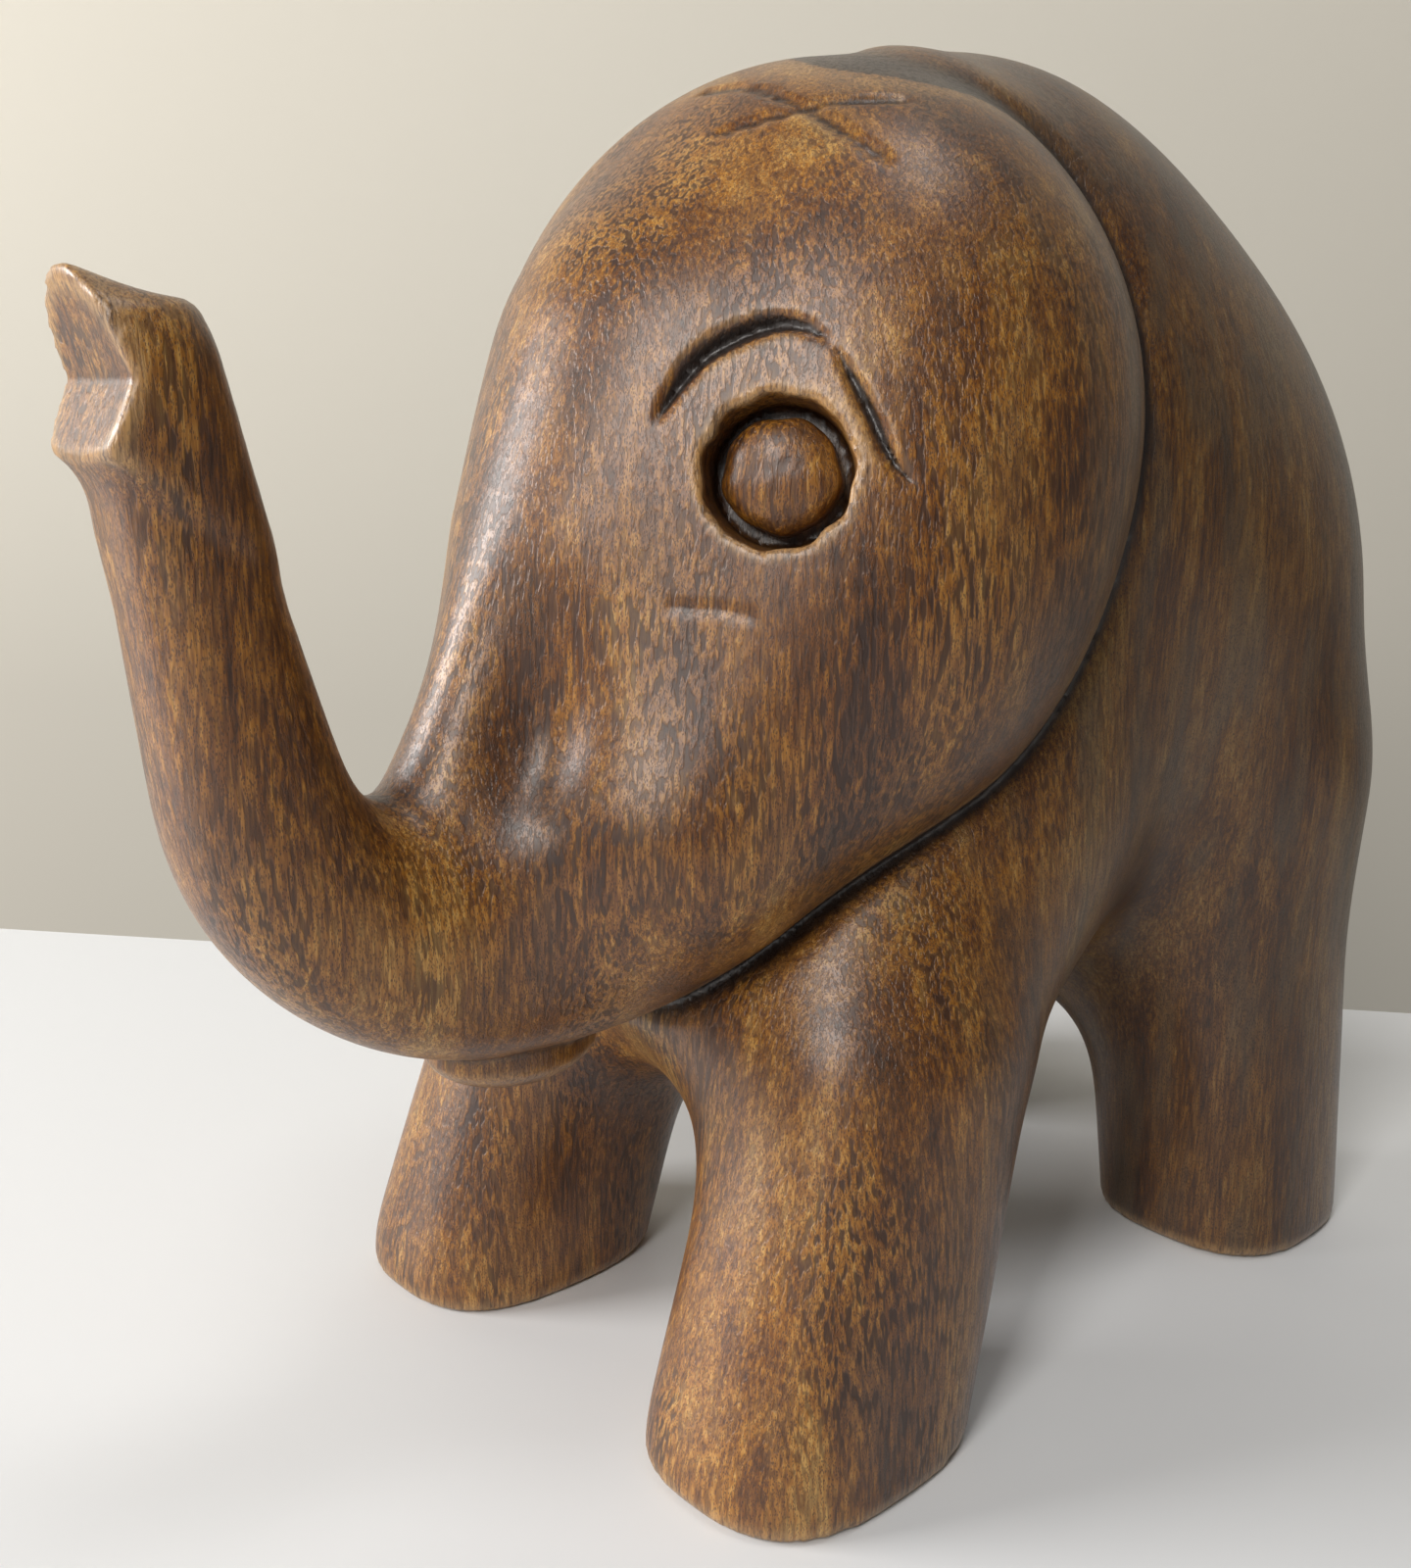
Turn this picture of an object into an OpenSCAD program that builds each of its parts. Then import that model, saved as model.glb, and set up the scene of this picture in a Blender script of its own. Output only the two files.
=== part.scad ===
// Carved wooden elephant: one block of hardwood with two round eye pegs let into the head.
// Millimetres, +Z up, the face towards -Y, the elephant's left side towards +X.
// The body is one blended surface: every rounded mass is a signed distance (negative inside),
// neighbouring masses melt into each other over a named blend width, and the zero surface is
// meshed on a rectangular grid. The head is joined without a blend, so its ear edge stands proud.

/* [Body] */
// Height of the back above the ground
back_height = 178; // [150:1:215]
// Width across the haunches
body_width = 93; // [80:1:112]
// From the centre of the barrel to the centre of the haunches, front to back
haunch_offset = 38; // [30:1:46]
// Half length of the barrel, front to back
barrel_reach = 50; // [42:1:60]

/* [Legs] */
// Front foot centre to rear foot centre, front to back
stance_length = 97; // [82:1:116]
// Front foot centre to front foot centre, side to side
front_stance = 65; // [58:1:76]
// Rear foot centre to rear foot centre, side to side
rear_stance = 70; // [60:1:80]
// Radius of a foot where it stands
foot_radius = 17; // [14:0.5:21]
// Height of the arch under the belly
belly_height = 42; // [36:1:50]

/* [Head] */
// Width of the head across the ears
head_width = 99; // [84:1:116]
// Height of the crown of the head above the ground
crown_height = 174; // [150:1:208]
// Half thickness of the head, front to back
head_reach = 38; // [30:0.5:44]
// How far the front of the muzzle stands before the front feet
muzzle_reach = 8.5; // [4:0.5:14]

/* [Trunk] */
// Height of the tip of the trunk above the ground
tip_height = 143; // [128:1:160]
// How far the tip of the trunk stands before the front feet
tip_reach = 72; // [64:1:84]
// Width across the lips of the trunk
tip_width = 17.5; // [13:0.5:23]
// Thickness of the trunk just below its tip
tip_thickness = 12; // [9:1:16]
// Width of the trunk at its root
root_width = 31; // [26:1:38]

/* [Eyes] */
// Diameter of an eye peg
eye_diameter = 13.5; // [10:0.5:17]
// Outer diameter of the bevelled socket round a peg
socket_diameter = 19.5; // [17.5:0.5:24]
// Depth of the bevelled socket
socket_depth = 4.5; // [3:0.5:7]
// How deep a peg sits below the floor of the bevelled socket
peg_seat = 8; // [5:1:12]
// Gap round a peg in its bore
peg_clearance = 0.1; // [0.05:0.05:0.3]

/* [Hidden] */
$fn = 48;

// ---- places, with the origin under the middle of the figure ----
front_foot_y = -stance_length / 2;
rear_foot_y = stance_length / 2;
tip_y = front_foot_y - tip_reach;
haunch = [0, 9.5 + haunch_offset, 90];
haunch_radii = [body_width / 2, 35, 59];

barrel_height = 60;
barrel = [0, 9.5, back_height - barrel_height];
barrel_radii = [body_width / 2 - 2.5, barrel_reach, barrel_height];
chest_radii = [body_width / 2 - 10, 24, 31];
chest = [0, front_foot_y + 43.5, belly_height + chest_radii.z];
throat = [0, front_foot_y + 19, 62];
throat_radii = [21, 26.5, 24.5];
barrel_blend = 33;
chest_blend = 20;
throat_blend = 14;
leg_blend = 17;

front_foot = [front_stance / 2, front_foot_y, 0];
front_knee = [front_stance / 2 - 2, front_foot_y + 14.5, 50];
front_shoulder = [18, front_foot_y + 40.5, 86];
rear_foot = [rear_stance / 2, rear_foot_y, 0];
rear_hip = [rear_stance / 2 - 7, rear_foot_y, 70];
knee_radius = foot_radius + 0.6;
shoulder_radius = 12.5;
hip_radius = foot_radius + 3.5;
front_foot_stretch = 1.2;
rear_foot_stretch = 1.05;
foot_squareness = 2.8;

skull_height = 49.5;
skull = [0, front_foot_y + 27, crown_height - skull_height];
skull_radii = [head_width / 2, head_reach, skull_height];
skull_tilt = -9;
cheek = [0, front_foot_y + 10, 95.5];
cheek_radius = 22;
muzzle = [0, front_foot_y - muzzle_reach, 78];
muzzle_radius = 21;
cheek_widening = 1.58;
cheek_blend = 29.5;
trunk_root_blend = 10.5;

// the ridge that runs down the forehead into the trunk, and the hollow on either side of it
brow_ridge = [0, front_foot_y - 0.5, 134];
brow_ridge_radius = 15;
bridge = [0, front_foot_y - 26, 86];
bridge_radius = 9;
ridge_blend = 16;
hollow = [12.5, front_foot_y - 30.5, 101];
hollow_radii = [4.5, 7, 15];
hollow_tilt = 11.5;
hollow_blend = 8;

// the trunk: an arc under the face, then a straight taper up to the tip
trunk_lean = 11.5;
trunk_arc = [tip_y + 46.5, 95];
trunk_arc_radius = 30.5;
trunk_arc_start = -56;
trunk_arc_end = -180 + trunk_lean;
trunk_elbow = trunk_arc + trunk_arc_radius * [cos(trunk_arc_end), sin(trunk_arc_end)];
trunk_up = [-sin(trunk_lean), cos(trunk_lean)];
trunk_front = [-cos(trunk_lean), -sin(trunk_lean)];
trunk_arc_length = trunk_arc_radius * (trunk_arc_start - trunk_arc_end) * PI / 180;
trunk_straight = (tip_height - trunk_elbow[1]) / trunk_up[1] - 5;
root_thickness = 29;
trunk_squareness = 2.75;
// the lips stand wider than the trunk on each side and narrow again towards the top
lip_flare = 2.75;
lip_taper = 5.5;
lip_taper_height = 10;

// the two lips of the tip, as points of its side view
upper_lip = [tip_y, tip_height];
lip_notch = [tip_y + 3.8, tip_height - 11];
lower_lip = [tip_y + 0.9, tip_height - 18];
tip_slope = 21;
underlip_slope = 27;
lip_blend = 4;

// the small jaw under the root of the trunk
jaw = [0, front_foot_y - 21.5, 53];
jaw_radii = [10, 13, 7];

// ---- signed distances ----
function blend(a, b, width) =
    let (overlap = max(width - abs(a - b), 0) / width)
    min(a, b) - overlap * overlap * width / 4;
function cut(a, b, width) = -blend(-a, -b, width);

function ellipsoid(p, centre, radii, tilt = 0) =
    let (d = p - centre,
         q = [d.x, d.y * cos(tilt) + d.z * sin(tilt), d.z * cos(tilt) - d.y * sin(tilt)],
         u = [q.x / radii.x, q.y / radii.y, q.z / radii.z],
         v = [u.x / radii.x, u.y / radii.y, u.z / radii.z],
         k = norm(u))
    k * (k - 1) / max(norm(v), 1e-6);

// a bar from a to b whose radius changes from ra to rb, widened along x and y; its section is
// round at a and, with a squareness over 2, turns to a rounded square at b
function tapered_bar(p, a, b, ra, rb, widen, squareness = 2) =
    let (axis = b - a,
         t = max(0, min(1, (p - a) * axis / (axis * axis))),
         e = p - a - t * axis,
         n = 2 + (squareness - 2) * t)
    pow(pow(abs(e.x / widen.x), n) + pow(abs(e.y / widen.y), n) + pow(abs(e.z), n), 1 / n)
        - (ra + (rb - ra) * t);

function trunk(p) =
    let (c = [p.y, p.z] - trunk_arc,
         from_elbow = [p.y, p.z] - trunk_elbow,
         up = from_elbow * trunk_up,
         raw_angle = atan2(c.y, c.x),
         angle = raw_angle > 90 ? raw_angle - 360 : raw_angle,
         straight = up > 0,
         along = straight
             ? trunk_arc_length + min(up, trunk_straight)
             : trunk_arc_radius * (trunk_arc_start - max(trunk_arc_end, min(trunk_arc_start, angle)))
                 * PI / 180,
         out = straight ? from_elbow * trunk_front : norm(c) - trunk_arc_radius,
         share = along / (trunk_arc_length + trunk_straight),
         half_width = (root_width + (tip_width - 2 * lip_flare - root_width) * share) / 2,
         half_thick = (root_thickness + (tip_thickness - root_thickness) * share) / 2,
         reach = pow(pow(abs(p.x) / half_width, trunk_squareness)
             + pow(abs(out) / half_thick, trunk_squareness), 1 / trunk_squareness) + 1e-6,
         rho = norm([p.x, out]),
         side = rho - rho / reach,
         behind = !straight && angle > trunk_arc_start
             ? (angle - trunk_arc_start) * PI / 180 * norm(c) - half_thick / 2 : -half_thick)
    cut(max(side, behind), straight ? up - trunk_straight : -5, 2);

// distance of p in front of the line from a to b, both points of the side view
function before(p, a, b) =
    let (t = (b - a) / norm(b - a)) (p.y - a[0]) * t[1] - (p.z - a[1]) * t[0];

function trunk_tip(p) =
    let (front = before(p, upper_lip, lower_lip),
         under = -((p.z - lower_lip[1]) * cos(underlip_slope)
             + (p.y - lower_lip[0]) * sin(underlip_slope)),
         top = (p.z - upper_lip[1]) * cos(tip_slope) + (p.y - upper_lip[0]) * sin(tip_slope),
         back = -(([p.y, p.z] - trunk_elbow) * trunk_front) - tip_thickness / 2,
         rise = max(0, min(1, (p.z - tip_height) / lip_taper_height + 1)),
         side = abs(p.x) - tip_width / 2 + lip_taper * rise * rise)
    cut(cut(cut(front, under, 1), cut(top, back, 4), 1.5), side, 2);

function head(p) =
    let (round_mass = blend(
             ellipsoid(p, skull, skull_radii, skull_tilt),
             tapered_bar(p, cheek, muzzle, cheek_radius, muzzle_radius, [cheek_widening, 1]),
             cheek_blend),
         ridge = tapered_bar(p, brow_ridge, bridge, brow_ridge_radius, bridge_radius, [1, 1]),
         with_ridge = blend(round_mass, ridge, ridge_blend),
         with_trunk = blend(with_ridge, trunk(p), trunk_root_blend),
         hollowed = cut(with_trunk,
             -ellipsoid([abs(p.x), p.y, p.z], hollow, hollow_radii, hollow_tilt), hollow_blend),
         with_tip = blend(hollowed, trunk_tip(p), lip_blend),
         notch = min(before(p, upper_lip, lip_notch), before(p, lip_notch, lower_lip)))
    cut(with_tip, notch, 0.5);

function torso(p) =
    let (q = [abs(p.x), p.y, p.z],
         barrel_and_haunch = blend(
             ellipsoid(p, barrel, barrel_radii), ellipsoid(p, haunch, haunch_radii), barrel_blend),
         with_chest = blend(barrel_and_haunch, ellipsoid(p, chest, chest_radii), chest_blend),
         with_throat = blend(with_chest, ellipsoid(p, throat, throat_radii), throat_blend),
         rear_leg = tapered_bar(q, rear_hip, rear_foot, hip_radius, foot_radius,
             [1, rear_foot_stretch], foot_squareness),
         lower_front_leg = tapered_bar(q, front_knee, front_foot, knee_radius, foot_radius,
             [1, front_foot_stretch], foot_squareness),
         upper_front_leg = tapered_bar(q, front_shoulder, front_knee, shoulder_radius,
             knee_radius, [1, front_foot_stretch]))
    blend(blend(with_throat, rear_leg, leg_blend), min(lower_front_leg, upper_front_leg),
        leg_blend);

ear_blend = 4;
sole_allowance = 3;
function figure(p) =
    max(blend(min(head(p), ellipsoid(p, jaw, jaw_radii)), torso(p), ear_blend), -p.z - sole_allowance);

// ---- the grid and its mesh ----
// Stops along an axis: closer together round the tip of the trunk. The first and last interval
// of each axis lie wholly outside the figure.
function stops(from, to, count) = [for (i = [0:count - 1]) from + (to - from) * i / count];
margin = 4;
widest = max(head_width / 2 * 1.04, front_stance / 2 + foot_radius, rear_stance / 2 + foot_radius,
    body_width / 2) + margin;
rearmost = haunch.y + haunch_radii.y + margin;
highest = max(back_height, crown_height) + margin;
fine_x = tip_width / 2 + 2;
fine_y = tip_y + 17;
fine_z = [tip_height - 26, tip_height + margin];
half_x = concat(stops(0, fine_x, 3), stops(fine_x, widest, 7), [widest, widest + margin]);
grid_y = concat([tip_y - 2 * margin], stops(tip_y - margin, fine_y, 8),
    stops(fine_y, rearmost, 29), [rearmost, rearmost + margin]);
grid_z = concat([-3 * margin], stops(-margin, fine_z[0], 20), stops(fine_z[0], fine_z[1], 12),
    stops(fine_z[1], highest, 6), [highest, highest + margin]);
nx = len(half_x) - 1;
ny = len(grid_y) - 1;
nz = len(grid_z) - 1;
values = [for (x = half_x) [for (y = grid_y) [for (z = grid_z) figure([x, y, z])]]];

function corner(i, j, k) = [sign(i) * half_x[abs(i)], grid_y[j], grid_z[k]];
function value(i, j, k) = values[abs(i)][j][k];
function inside(i, j, k) = value(i, j, k) < 0;
CORNERS = [for (a = [0, 1], b = [0, 1], c = [0, 1]) [a, b, c]];
EDGES = [for (m = [0:7], n = [0:7]) if (n > m && norm(CORNERS[m] - CORNERS[n]) == 1) [m, n]];

function sum(list, i = 0, total = [0, 0, 0]) =
    i == len(list) ? total : sum(list, i + 1, total + list[i]);
function mean(list) = sum(list) / len(list);

function crossed(i, j, k) =
    let (n = len([for (c = CORNERS) if (inside(i + c.x, j + c.y, k + c.z)) 1])) n > 0 && n < 8;
function cell_point(i, j, k) = mean([
    for (e = EDGES)
        let (a = CORNERS[e[0]], b = CORNERS[e[1]],
             va = value(i + a.x, j + a.y, k + a.z), vb = value(i + b.x, j + b.y, k + b.z))
        if ((va < 0) != (vb < 0))
            let (pa = corner(i + a.x, j + a.y, k + a.z), pb = corner(i + b.x, j + b.y, k + b.z))
            pa + (pb - pa) * va / (va - vb)]);

cells = [for (i = [-nx:nx - 1], j = [0:ny - 1], k = [0:nz - 1]) crossed(i, j, k) ? 1 : 0];
numbers = [for (n = 0, count = 0; n < len(cells); count = count + cells[n], n = n + 1) count];
function number(i, j, k) = numbers[((i + nx) * ny + j) * nz + k];

points = [
    for (i = [-nx:nx - 1], j = [0:ny - 1], k = [0:nz - 1])
        if (cells[((i + nx) * ny + j) * nz + k] == 1) cell_point(i, j, k)];

// the origin goes under the middle of the figure's length
middle_y = (min([for (q = points) q.y]) + max([for (q = points) q.y])) / 2;

// two triangles for the four cells round a grid edge, split along the shorter diagonal
function facet_pair(a, b, c, d, outward) =
    let (q = outward ? [a, b, c, d] : [d, c, b, a],
         first = norm(points[q[0]] - points[q[2]]), second = norm(points[q[1]] - points[q[3]]))
    first < second
        ? [[q[0], q[1], q[2]], [q[0], q[2], q[3]]]
        : [[q[0], q[1], q[3]], [q[1], q[2], q[3]]];

facets = [
    for (i = [-nx + 1:nx - 1], j = [1:ny - 1], k = [1:nz - 1])
        let (here = inside(i, j, k))
        each concat(
            here != inside(i + 1, j, k)
                ? facet_pair(number(i, j - 1, k - 1), number(i, j, k - 1),
                    number(i, j, k), number(i, j - 1, k), !here) : [],
            here != inside(i, j + 1, k)
                ? facet_pair(number(i - 1, j, k - 1), number(i - 1, j, k),
                    number(i, j, k), number(i, j, k - 1), !here) : [],
            here != inside(i, j, k + 1)
                ? facet_pair(number(i - 1, j - 1, k), number(i, j - 1, k),
                    number(i, j, k), number(i - 1, j, k), !here) : [])];

// ---- the eyes: the place where a line out of the head meets its surface ----
eye_root = [12.7, front_foot_y + 17.8, 117.8];
eye_bearing = 54;
eye_rise = 10;
eye_out = [cos(eye_rise) * cos(eye_bearing), -cos(eye_rise) * sin(eye_bearing), sin(eye_rise)];
function surface_distance(near, far, steps = 24) =
    let (middle = (near + far) / 2)
    steps == 0 ? middle
        : head(eye_root + middle * eye_out) < 0
            ? surface_distance(middle, far, steps - 1)
            : surface_distance(near, middle, steps - 1);
eye_place = eye_root + surface_distance(0, 2 * head_width) * eye_out;
dome_height = 2.5;
dome_sink = 0.5;
socket_flare = 3;
bore_radius = eye_diameter / 2 + peg_clearance;
seat_depth = socket_depth + peg_seat;

// puts what stands on the xy plane on the head at the left eye, +Z outwards
module at_left_eye() {
    translate(eye_place - [0, middle_y, 0])
        rotate([0, 90 - eye_rise, -eye_bearing])
            children();
}

module on_right_side() {
    mirror([1, 0, 0]) children();
}

module eye_socket() {
    floor_radius = bore_radius + 0.6;
    slope = (socket_diameter / 2 - floor_radius) / socket_depth;
    translate([0, 0, -socket_depth])
        cylinder(h = socket_depth + socket_flare, r1 = floor_radius,
            r2 = socket_diameter / 2 + slope * socket_flare);
    translate([0, 0, -seat_depth])
        cylinder(h = seat_depth, r = bore_radius);
}

module eye_peg() {
    dome_radius = (pow(eye_diameter / 2, 2) + pow(dome_height, 2)) / (2 * dome_height);
    shank = seat_depth - dome_sink - dome_height;
    color("saddlebrown")
        translate([0, 0, -seat_depth])
            intersection() {
                cylinder(h = shank + dome_height, r = eye_diameter / 2);
                translate([0, 0, shank + dome_height - dome_radius])
                    sphere(r = dome_radius, $fn = 96);
            }
}

module carved_body() {
    color("sienna")
        difference() {
            translate([0, -middle_y, 0]) polyhedron(points, facets);
            translate([-widest, -2 * body_width, -2 * margin])
                cube([2 * widest, 4 * body_width, 2 * margin]);
            at_left_eye() eye_socket();
            on_right_side() at_left_eye() eye_socket();
        }
}

module left_eye_peg() {
    at_left_eye() eye_peg();
}

module right_eye_peg() {
    on_right_side() at_left_eye() eye_peg();
}

carved_body();
left_eye_peg();
right_eye_peg();
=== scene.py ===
import math

import bmesh
import bpy
import numpy as np
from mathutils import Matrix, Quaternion, Vector

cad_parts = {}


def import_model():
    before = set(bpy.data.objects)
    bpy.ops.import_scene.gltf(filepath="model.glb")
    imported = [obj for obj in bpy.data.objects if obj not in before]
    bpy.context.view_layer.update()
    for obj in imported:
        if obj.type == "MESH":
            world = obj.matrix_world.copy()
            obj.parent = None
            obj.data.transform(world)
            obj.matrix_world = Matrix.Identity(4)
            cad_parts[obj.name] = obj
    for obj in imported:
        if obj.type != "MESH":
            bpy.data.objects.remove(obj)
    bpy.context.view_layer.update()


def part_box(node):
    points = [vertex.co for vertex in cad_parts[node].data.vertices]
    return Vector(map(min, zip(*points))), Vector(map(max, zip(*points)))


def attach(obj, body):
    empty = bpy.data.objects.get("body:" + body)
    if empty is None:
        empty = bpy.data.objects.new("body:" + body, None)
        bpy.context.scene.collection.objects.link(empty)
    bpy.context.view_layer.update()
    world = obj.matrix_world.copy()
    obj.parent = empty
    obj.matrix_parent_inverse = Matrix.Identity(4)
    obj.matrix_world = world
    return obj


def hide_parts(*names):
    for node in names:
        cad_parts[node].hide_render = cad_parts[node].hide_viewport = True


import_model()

MM = 0.001

# ---------------------------------------------------------------- sizes of the carving, in millimetres
# They are measured from a point on the ground between the feet, as in the part; the figure is moved
# under its box at the end. +Z up, the figure faces -Y, its left side towards +X.
BACK_HEIGHT = 178
BODY_WIDTH = 93
HAUNCH_OFFSET = 38
BARREL_REACH = 50
STANCE_LENGTH = 97
FRONT_STANCE = 65
REAR_STANCE = 70
FOOT_RADIUS = 17
BELLY_HEIGHT = 42
HEAD_WIDTH = 99
CROWN_HEIGHT = 174
HEAD_REACH = 38
MUZZLE_REACH = 8.5
TIP_HEIGHT = 143
TIP_REACH = 72
TIP_WIDTH = 17.5
LIP_FLARE = 2.75
LIP_TAPER = 5.5
LIP_TAPER_HEIGHT = 10
LIP_RUNOUT = 1.6
LIP_RUNOUT_HEIGHT = 14
TIP_THICKNESS = 12
ROOT_WIDTH = 31
EYE_DIAMETER = 13.5
SOCKET_DIAMETER = 19.5
SOCKET_DEPTH = 4.5

FRONT_FOOT_Y = -STANCE_LENGTH / 2
REAR_FOOT_Y = STANCE_LENGTH / 2
TIP_Y = FRONT_FOOT_Y - TIP_REACH


# ---------------------------------------------------------------- signed distances on arrays of points
def blend(a, b, width):
    """The two masses joined, with a fillet of about the width."""
    overlap = np.maximum(width - np.abs(a - b), 0) / width
    return np.minimum(a, b) - overlap * overlap * width / 4


def cut(a, b, width):
    """What the two masses share, with a rounded edge of about the width."""
    return -blend(-a, -b, width)


def ellipsoid(p, centre, radii, tilt=0):
    """Distance to an ellipsoid turned by tilt degrees about X."""
    x, y, z = (p[n] - centre[n] for n in range(3))
    c, s = math.cos(math.radians(tilt)), math.sin(math.radians(tilt))
    u = x / radii[0], (y * c + z * s) / radii[1], (z * c - y * s) / radii[2]
    k = np.sqrt(u[0] ** 2 + u[1] ** 2 + u[2] ** 2)
    slope = np.sqrt((u[0] / radii[0]) ** 2 + (u[1] / radii[1]) ** 2 + (u[2] / radii[2]) ** 2)
    return k * (k - 1) / np.maximum(slope, 1e-6)


def tapered_bar(p, a, b, radius_a, radius_b, widen=(1, 1), squareness=2):
    """A bar from a to b whose radius changes, round at a and turning to a rounded square at b."""
    axis = [b[n] - a[n] for n in range(3)]
    length2 = sum(v * v for v in axis)
    t = np.clip(sum((p[n] - a[n]) * axis[n] for n in range(3)) / length2, 0, 1)
    e = [p[n] - a[n] - t * axis[n] for n in range(3)]
    n = 2 + (squareness - 2) * t
    reach = np.abs(e[0] / widen[0]) ** n + np.abs(e[1] / widen[1]) ** n + np.abs(e[2]) ** n
    return reach ** (1 / n) - (radius_a + (radius_b - radius_a) * t)


def before(p, a, b):
    """Distance in front of the line from a to b, both points of the side view."""
    length = math.hypot(b[0] - a[0], b[1] - a[1])
    ty, tz = (b[0] - a[0]) / length, (b[1] - a[1]) / length
    return (p[1] - a[0]) * tz - (p[2] - a[1]) * ty


# ---------------------------------------------------------------- the trunk
TRUNK_LEAN = 11.5
TRUNK_ARC = (TIP_Y + 46.5, 95)
TRUNK_ARC_RADIUS = 30.5
TRUNK_ARC_START = -56
TRUNK_ARC_END = -180 + TRUNK_LEAN
TRUNK_ELBOW = (TRUNK_ARC[0] + TRUNK_ARC_RADIUS * math.cos(math.radians(TRUNK_ARC_END)),
               TRUNK_ARC[1] + TRUNK_ARC_RADIUS * math.sin(math.radians(TRUNK_ARC_END)))
TRUNK_UP = (-math.sin(math.radians(TRUNK_LEAN)), math.cos(math.radians(TRUNK_LEAN)))
TRUNK_FRONT = (-math.cos(math.radians(TRUNK_LEAN)), -math.sin(math.radians(TRUNK_LEAN)))
TRUNK_ARC_LENGTH = TRUNK_ARC_RADIUS * math.radians(TRUNK_ARC_START - TRUNK_ARC_END)
TRUNK_STRAIGHT = (TIP_HEIGHT - TRUNK_ELBOW[1]) / TRUNK_UP[1] - 5
ROOT_THICKNESS = 29
TRUNK_SQUARENESS = 2.75
UPPER_LIP = (TIP_Y, TIP_HEIGHT)
LIP_NOTCH = (TIP_Y + 3.8, TIP_HEIGHT - 11)
LOWER_LIP = (TIP_Y + 0.9, TIP_HEIGHT - 18)
TIP_SLOPE = 21
UNDERLIP_SLOPE = 27
TIP_SHOULDER_ROUNDING = 8
TIP_TOP_ROUNDING = 4
TIP_SIDE_ROUNDING = 2
LIP_ROUNDING = 1.5
UNDERLIP_ROUNDING = 1


def trunk(p):
    """An arc from the muzzle and a straight taper up to the tip, both rounded squares across."""
    cy, cz = p[1] - TRUNK_ARC[0], p[2] - TRUNK_ARC[1]
    ey, ez = p[1] - TRUNK_ELBOW[0], p[2] - TRUNK_ELBOW[1]
    up = ey * TRUNK_UP[0] + ez * TRUNK_UP[1]
    straight = up > 0
    raw = np.degrees(np.arctan2(cz, cy))
    angle = np.where(raw > 90, raw - 360, raw)
    turned = TRUNK_ARC_START - np.clip(angle, TRUNK_ARC_END, TRUNK_ARC_START)
    along = np.where(straight, TRUNK_ARC_LENGTH + np.minimum(up, TRUNK_STRAIGHT),
                     TRUNK_ARC_RADIUS * np.radians(turned))
    radial = np.sqrt(cy * cy + cz * cz)
    out = np.where(straight, ey * TRUNK_FRONT[0] + ez * TRUNK_FRONT[1], radial - TRUNK_ARC_RADIUS)
    share = along / (TRUNK_ARC_LENGTH + TRUNK_STRAIGHT)
    half_width = (ROOT_WIDTH + (TIP_WIDTH - 2 * LIP_FLARE - ROOT_WIDTH) * share) / 2
    half_thick = (ROOT_THICKNESS + (TIP_THICKNESS - ROOT_THICKNESS) * share) / 2
    n = TRUNK_SQUARENESS
    reach = (np.abs(p[0] / half_width) ** n + np.abs(out / half_thick) ** n) ** (1 / n) + 1e-6
    rho = np.sqrt(p[0] ** 2 + out ** 2 + 1e-9)
    side = rho - rho / reach
    past_start = (~straight) & (angle > TRUNK_ARC_START)
    behind = np.where(past_start, np.radians(angle - TRUNK_ARC_START) * radial - half_thick / 2,
                      -half_thick)
    return cut(np.maximum(side, behind), np.where(straight, up - TRUNK_STRAIGHT, -5.0), 2)


def trunk_tip(p):
    """The flared end of the trunk, without the notch between its lips."""
    a = math.radians(UNDERLIP_SLOPE)
    b = math.radians(TIP_SLOPE)
    front = before(p, UPPER_LIP, LOWER_LIP)
    under = -((p[2] - LOWER_LIP[1]) * math.cos(a) + (p[1] - LOWER_LIP[0]) * math.sin(a))
    top = (p[2] - UPPER_LIP[1]) * math.cos(b) + (p[1] - UPPER_LIP[0]) * math.sin(b)
    back = -((p[1] - TRUNK_ELBOW[0]) * TRUNK_FRONT[0] + (p[2] - TRUNK_ELBOW[1]) * TRUNK_FRONT[1]) \
        - TIP_THICKNESS / 2
    rise = np.clip((p[2] - TIP_HEIGHT) / LIP_TAPER_HEIGHT + 1, 0, 1)
    drop = np.clip((LOWER_LIP[1] + 4 - p[2]) / LIP_RUNOUT_HEIGHT, 0, 1)
    side = np.abs(p[0]) - TIP_WIDTH / 2 + LIP_TAPER * rise * rise + LIP_RUNOUT * drop
    shoulder = cut(top, cut(back, side, TIP_SHOULDER_ROUNDING), TIP_TOP_ROUNDING)
    lips = cut(cut(front, under, UNDERLIP_ROUNDING), shoulder, LIP_ROUNDING)
    return cut(lips, side, TIP_SIDE_ROUNDING)


def lip_notch(p):
    """The wedge cut out between the upper and the lower lip."""
    return np.minimum(before(p, UPPER_LIP, LIP_NOTCH), before(p, LIP_NOTCH, LOWER_LIP))


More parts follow.
